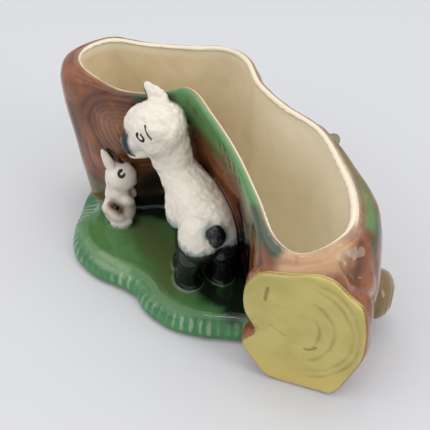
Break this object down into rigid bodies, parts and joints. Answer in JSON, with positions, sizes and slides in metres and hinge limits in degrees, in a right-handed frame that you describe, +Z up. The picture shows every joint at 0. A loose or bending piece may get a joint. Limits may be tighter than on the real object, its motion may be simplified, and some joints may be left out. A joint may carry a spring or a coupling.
{
  "type": "ceramic planter",
  "caption": "Glazed pottery planter shaped as a hollow fallen log, with sawn ends, branch stubs and a grass bank on which a lamb and a rabbit stand",
  "frame": {"origin": "on the surface that the planter stands on, under the middle of the log's length and depth", "axes": "+X along the log towards its front sawn end, -Y towards the side with the animals, +Z up"},
  "size_m": [0.245, 0.1318, 0.1144],
  "materials": {
    "bark_glaze": "glossy brown glaze shaded green and tan",
    "sawn_wood_glaze": "glossy olive-yellow glaze with brown ring lines",
    "grass_glaze": "glossy green glaze, paler at the edge",
    "bare_biscuit": "unglazed biscuit, matte",
    "white_glaze": "glossy warm white glaze",
    "black_glaze": "glossy blue-black glaze",
    "rabbit_glaze": "glossy pinkish white glaze",
    "rabbit_patch_glaze": "glossy brown glaze"
  },
  "bodies": {
    "root": {"trough": "bark_glaze", "front_log_end": "bark_glaze", "side_stub": "bark_glaze", "back_stub": "bark_glaze", "twig": "bark_glaze", "front_sawn_face": "sawn_wood_glaze", "left_sawn_face": "sawn_wood_glaze", "side_stub_face": "sawn_wood_glaze", "back_stub_face": "sawn_wood_glaze", "grass_bank": "grass_glaze", "foot": "bare_biscuit", "lamb_body": "white_glaze", "lamb_head": "white_glaze", "lamb_left_ear": "white_glaze", "lamb_right_ear": "white_glaze", "lamb_front_legs": "black_glaze", "lamb_hind_legs": "black_glaze", "lamb_tail": "black_glaze", "rabbit_body": "rabbit_glaze", "rabbit_head": "rabbit_glaze", "rabbit_left_ear": "rabbit_glaze", "rabbit_right_ear": "rabbit_glaze", "rabbit_forepaws": "rabbit_glaze", "rabbit_hind_feet": "rabbit_glaze", "rabbit_tail": "rabbit_patch_glaze"}
  },
  "joints": []
}
